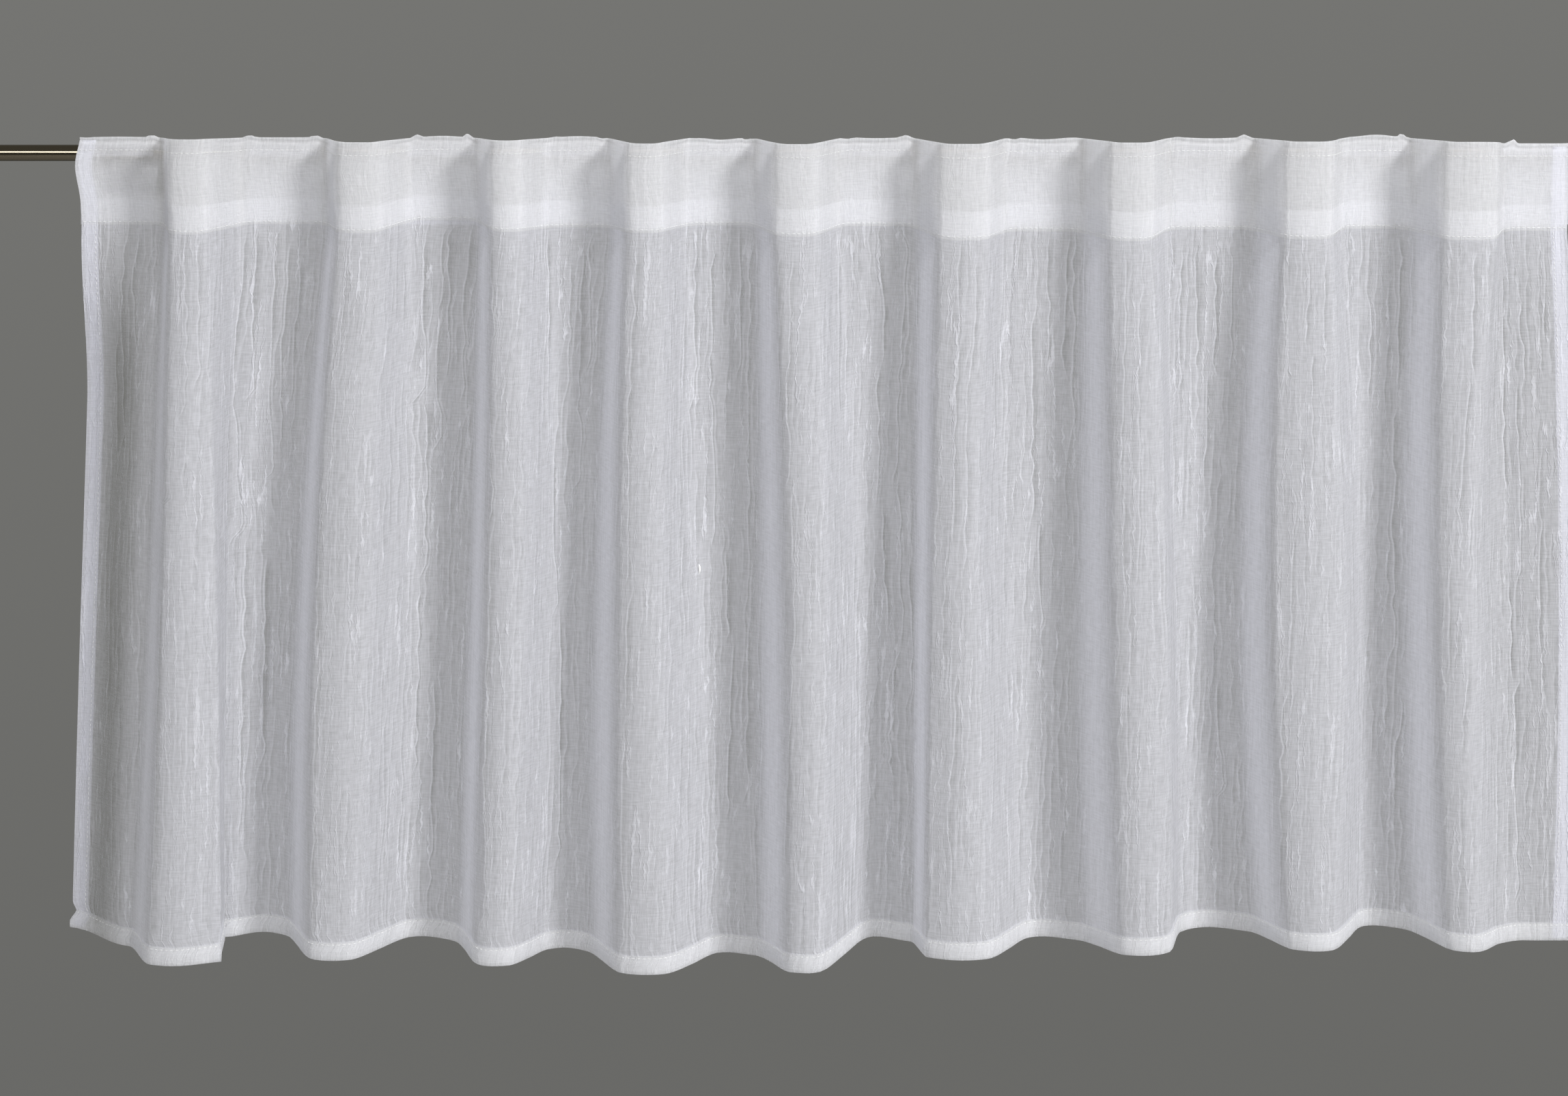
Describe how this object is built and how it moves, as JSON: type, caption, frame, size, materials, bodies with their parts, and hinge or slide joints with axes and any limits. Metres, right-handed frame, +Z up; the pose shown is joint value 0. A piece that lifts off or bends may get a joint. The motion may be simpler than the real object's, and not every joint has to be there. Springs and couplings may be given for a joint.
{
  "type": "cafe curtain on a rod",
  "caption": "Sheer white crinkled voile cafe curtain hanging in soft folds from a thin steel rod, carried by hidden loops sewn behind its heading.",
  "frame": {"origin": "on the axis of the rod at the middle of its length", "axes": "+X along the rod to the right as seen from the room, +Y away from the room, +Z up"},
  "size_m": [1.016, 0.0601, 0.5104],
  "materials": {
    "voile": "sheer crinkled voile",
    "steel": "satin"
  },
  "bodies": {
    "root": {"panel": "voile", "loop_01": "voile", "loop_02": "voile", "loop_03": "voile", "loop_04": "voile", "loop_05": "voile", "loop_06": "voile", "loop_07": "voile", "loop_08": "voile", "loop_09": "voile", "loop_10": "voile", "rod": "steel"}
  },
  "joints": []
}
